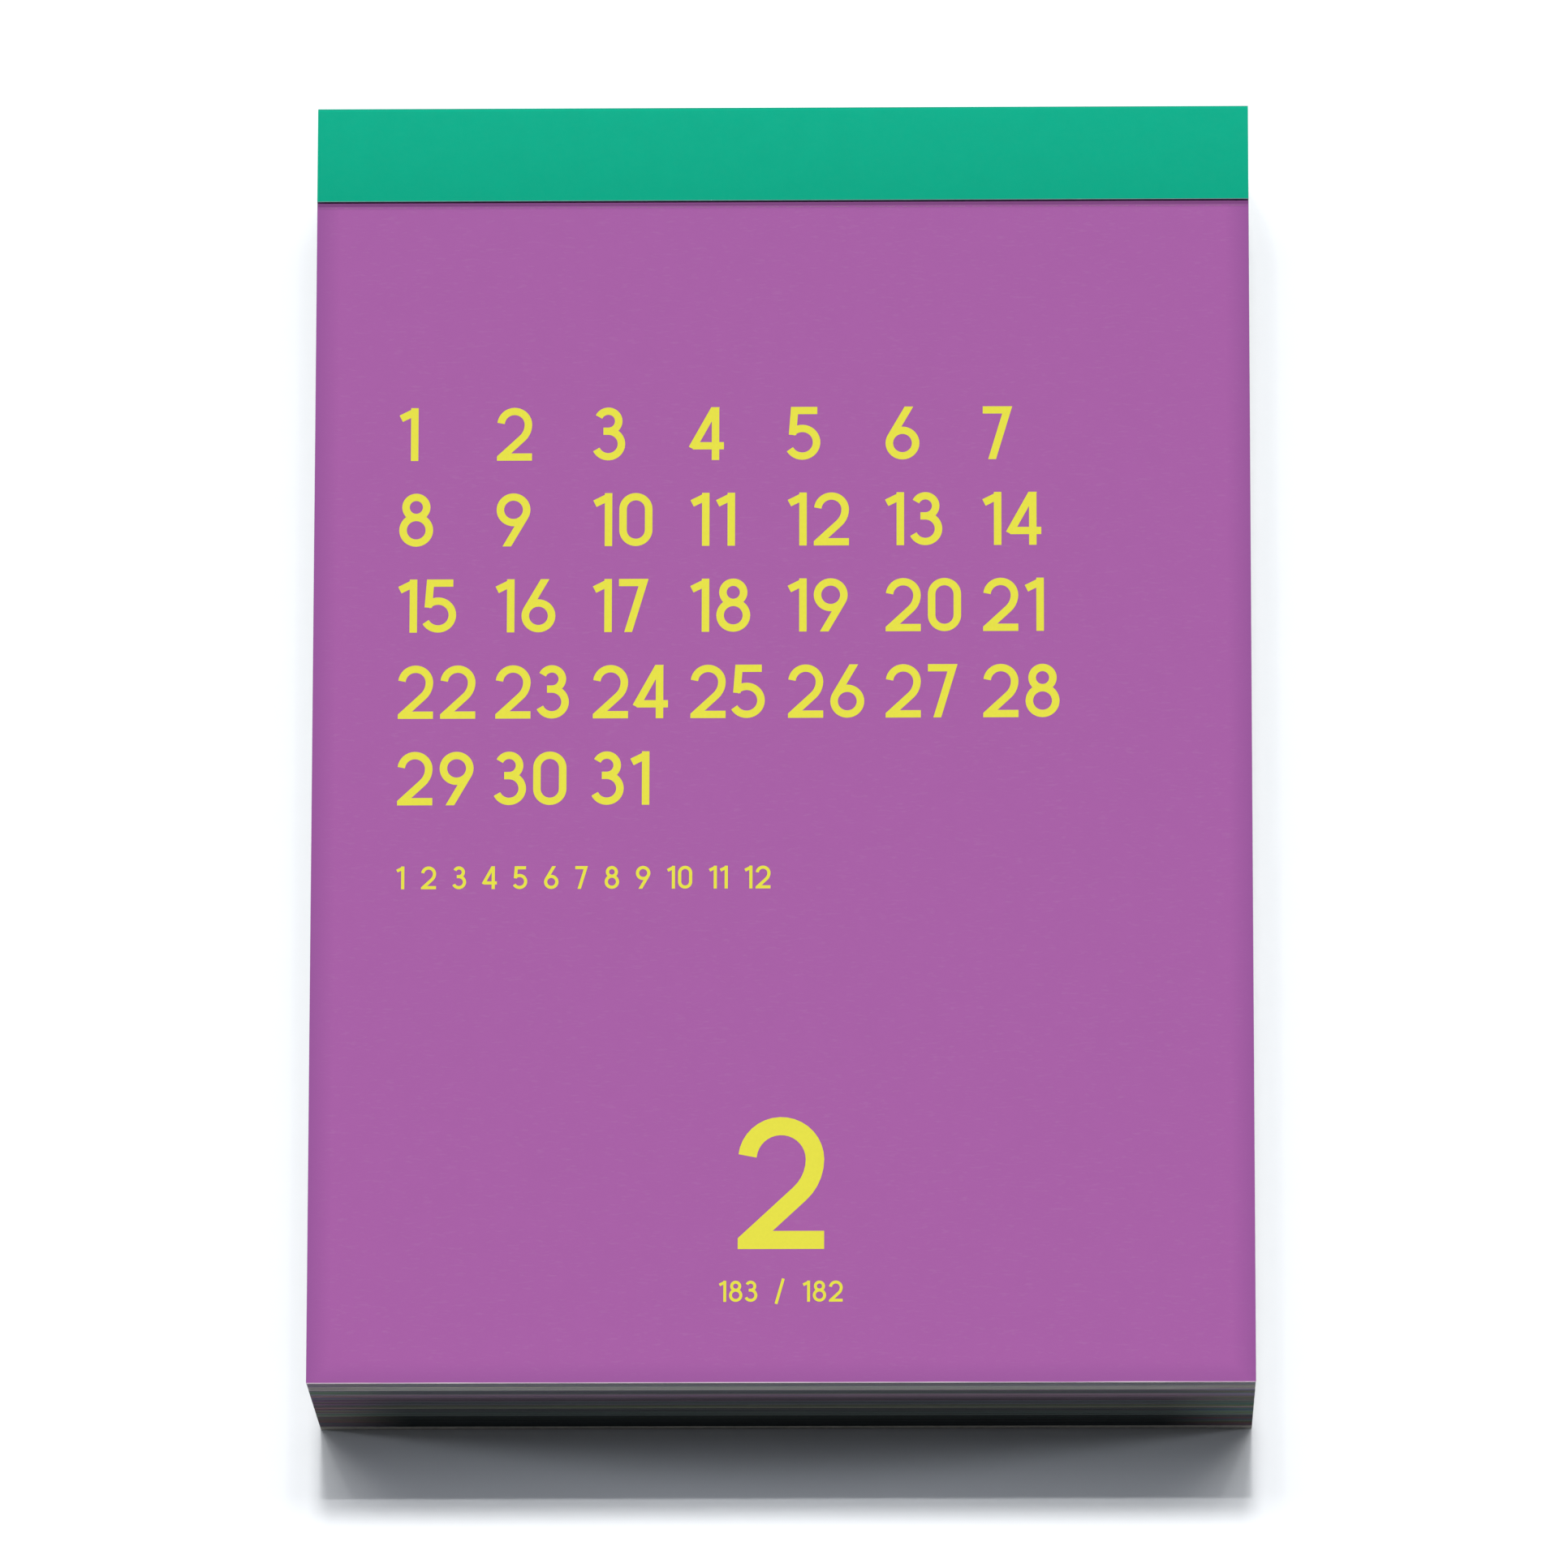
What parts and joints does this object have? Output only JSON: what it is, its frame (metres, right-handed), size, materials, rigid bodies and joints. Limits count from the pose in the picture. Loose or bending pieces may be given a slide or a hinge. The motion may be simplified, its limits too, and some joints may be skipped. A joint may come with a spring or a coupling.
{
  "type": "tear-off calendar",
  "caption": "Tear-off calendar: a thick block of perforated day leaves glued at the head to a grey board, under a folded card band; lies on its back.",
  "frame": {"origin": "middle of the footprint, on the surface that the calendar's back lies on", "axes": "+Z out of the front leaf, +Y to the head with the band, +X to the right of the front leaf"},
  "size_m": [0.115, 0.16, 0.0333],
  "materials": {
    "grey_board": "matt grey board",
    "green_card": "green printed card, satin",
    "padding_glue": "dried padding glue",
    "violet_printed_paper": "violet print on uncoated paper",
    "teal_printed_paper": "teal print on uncoated paper",
    "book_paper": "uncoated book paper"
  },
  "bodies": {
    "bound_block": {"back_board": "grey_board", "header_band": "green_card", "head_glue": "padding_glue", "top_leaf_stub": "violet_printed_paper", "second_leaf_stub": "teal_printed_paper", "leaf_pile_01_stub": "book_paper", "leaf_pile_02": "book_paper", "leaf_pile_03": "book_paper", "leaf_pile_04": "book_paper", "leaf_pile_05": "book_paper", "leaf_pile_06": "book_paper", "leaf_pile_07": "book_paper", "leaf_pile_08": "book_paper", "leaf_pile_09": "book_paper", "leaf_pile_10": "book_paper", "leaf_pile_11": "book_paper", "leaf_pile_12": "book_paper"},
    "front_pile": {"leaf_pile_01": "book_paper"},
    "second_margin": {"second_leaf_margin": "teal_printed_paper"},
    "second_leaf": {"second_leaf": "teal_printed_paper"},
    "top_margin": {"top_leaf_margin": "violet_printed_paper"},
    "top_leaf": {"top_leaf": "violet_printed_paper"}
  },
  "joints": [
    {"name": "front_pile_lift", "type": "hinge", "parent": "bound_block", "child": "front_pile", "pos_m": [0, 0.068, 0.03335], "axis": [-1, 0, 0], "range_deg": [0, 30]},
    {"name": "second_leaf_lift", "type": "hinge", "parent": "front_pile", "child": "second_margin", "pos_m": [0, 0.068, 0.03335], "axis": [-1, 0, 0], "range_deg": [0, 45]},
    {"name": "second_leaf_tear", "type": "slide", "parent": "second_margin", "child": "second_leaf", "axis": [0, -1, 0], "range_m": [0, 0.15]},
    {"name": "top_leaf_lift", "type": "hinge", "parent": "second_margin", "child": "top_margin", "pos_m": [0, 0.068, 0.03335], "axis": [-1, 0, 0], "range_deg": [0, 100]},
    {"name": "top_leaf_tear", "type": "slide", "parent": "top_margin", "child": "top_leaf", "axis": [0, -1, 0], "range_m": [0, 0.15]}
  ]
}
